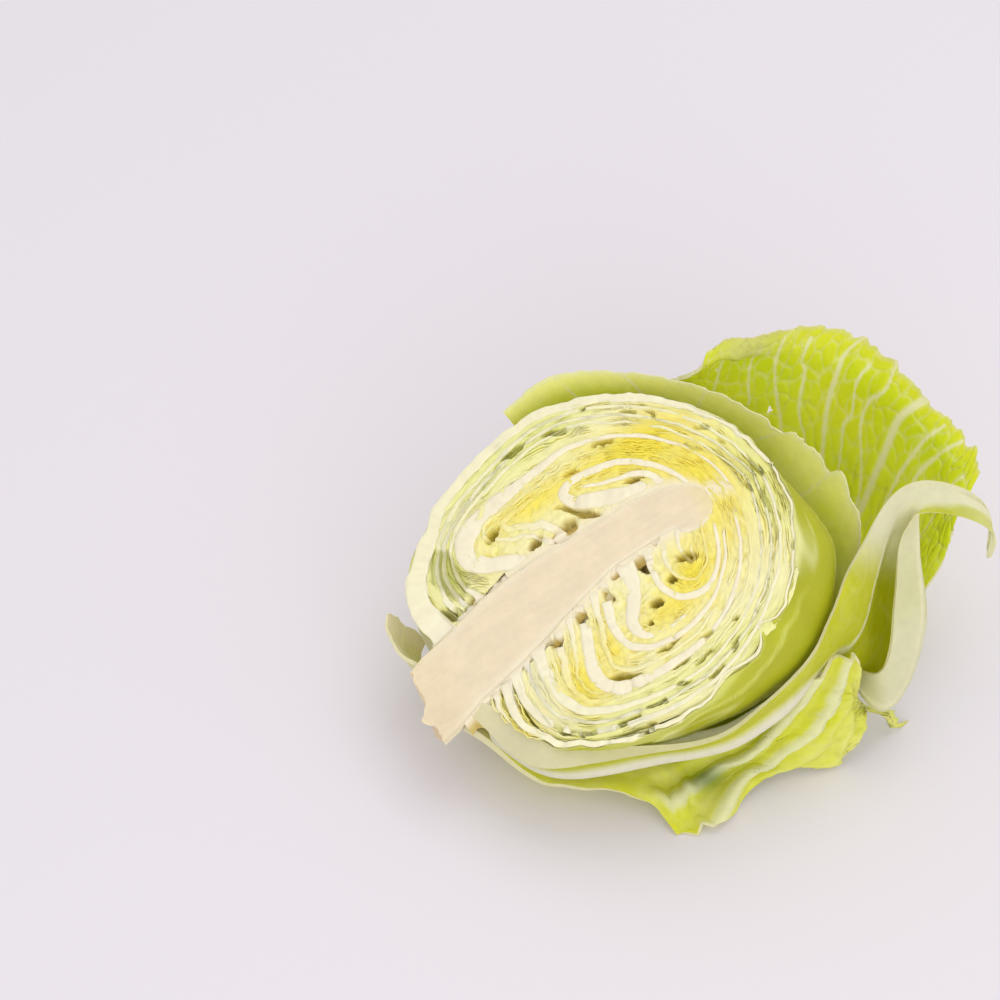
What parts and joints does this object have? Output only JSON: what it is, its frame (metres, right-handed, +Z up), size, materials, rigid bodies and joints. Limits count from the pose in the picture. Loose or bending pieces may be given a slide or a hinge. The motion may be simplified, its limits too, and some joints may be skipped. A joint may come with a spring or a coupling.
{
  "type": "savoy cabbage half",
  "caption": "Half of a savoy cabbage cut lengthwise through its core, lying on its round back with the folded heart leaves showing and loose crinkled outer leaves spread round it.",
  "frame": {"origin": "on the table, in the flat spot of the outermost leaf that the half rests on, below the middle of the cut face", "axes": "+Z up from the table; the cut face looks up and leans towards -Y, and the core runs from the stem at -X to the crown at +X"},
  "size_m": [0.2743, 0.1953, 0.1356],
  "materials": {
    "core": "moist cut stalk, satin",
    "rib": "moist cut leaf rib, satin",
    "pale_leaf": "pale waxy leaf, satin",
    "green_leaf": "waxy leaf, satin",
    "deep_leaf": "waxy veined leaf, satin",
    "heart_leaf": "tender crinkled leaf, satin"
  },
  "bodies": {
    "root": {"core": "core", "wrapper_leaf_1": "pale_leaf", "wrapper_leaf_2": "pale_leaf", "wrapper_leaf_3": "pale_leaf", "wrapper_leaf_4": "pale_leaf", "torn_leaf": "green_leaf", "right_leaf": "green_leaf", "front_leaf": "green_leaf", "back_leaf": "deep_leaf", "leaf_stub": "pale_leaf", "folded_leaf_1": "rib", "heart_leaf_1": "heart_leaf", "heart_leaf_2": "heart_leaf", "folded_leaf_2": "rib", "tip_leaf": "rib", "heart_leaf_3": "heart_leaf", "heart_leaf_4": "heart_leaf", "ribbed_leaf_1": "rib", "heart_leaf_5": "heart_leaf", "ribbed_leaf_2": "rib", "ribbed_leaf_3": "rib", "ribbed_leaf_4": "rib", "bud_leaf_1": "heart_leaf", "bud_leaf_2": "heart_leaf", "axil_leaf": "heart_leaf"}
  },
  "joints": []
}
